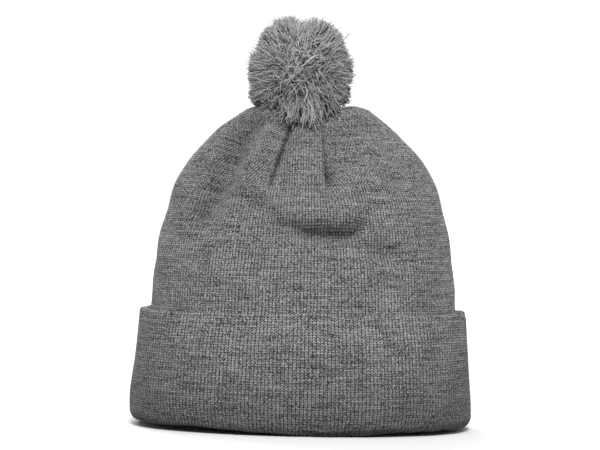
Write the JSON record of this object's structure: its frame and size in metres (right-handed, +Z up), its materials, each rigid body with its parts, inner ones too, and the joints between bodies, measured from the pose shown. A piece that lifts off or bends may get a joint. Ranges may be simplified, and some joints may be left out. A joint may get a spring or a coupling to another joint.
{
  "type": "pom pom beanie",
  "caption": "Rib-knitted winter hat with a turned-up cuff, darted crown and a yarn pom pom tied through its gathered top.",
  "frame": {"origin": "on the ground under the middle of the hat, in the plane of the hem", "axes": "+Z up through the crown, -Y towards the front, +X across the front to the right as seen from the front"},
  "size_m": [0.2258, 0.1662, 0.2704],
  "materials": {
    "heather_knit": "matt heather rib knit",
    "heather_cuff": "matt heather rib knit",
    "sewing_thread": "matt thread",
    "tie_yarn": "matt yarn",
    "pom_yarn": "soft cut yarn"
  },
  "bodies": {
    "hat": {"knit_crown": "heather_knit", "turn_up_cuff": "heather_cuff", "back_seam": "sewing_thread", "cuff_seam": "sewing_thread", "dart_seam_front_left": "sewing_thread", "dart_seam_front_right": "sewing_thread", "dart_seam_back_left": "sewing_thread", "dart_seam_back_right": "sewing_thread", "gather_thread": "sewing_thread", "tie_knot": "tie_yarn", "tie_tail_left": "tie_yarn", "tie_tail_right": "tie_yarn", "tie_shank": "tie_yarn"},
    "tie_bend": {"tie_loop": "tie_yarn"},
    "tie": {"tie_yarn": "tie_yarn"},
    "pom": {"pom_yarn": "pom_yarn", "pom_binding": "tie_yarn"}
  },
  "joints": [
    {"name": "pom_nod", "type": "hinge", "parent": "hat", "child": "tie_bend", "pos_m": [0, 0, 0.2075], "axis": [1, 0, 0], "range_deg": [-25, 25], "stiffness_Nm_per_rad": 0.03},
    {"name": "pom_sway", "type": "hinge", "parent": "tie_bend", "child": "tie", "pos_m": [0, 0, 0.2075], "axis": [0, 1, 0], "range_deg": [-15, 15], "stiffness_Nm_per_rad": 0.03},
    {"name": "pom_twist", "type": "hinge", "parent": "tie", "child": "pom", "pos_m": [0, 0, 0.2075], "axis": [0, 0, 1], "range_deg": [-60, 60], "stiffness_Nm_per_rad": 0.004}
  ]
}
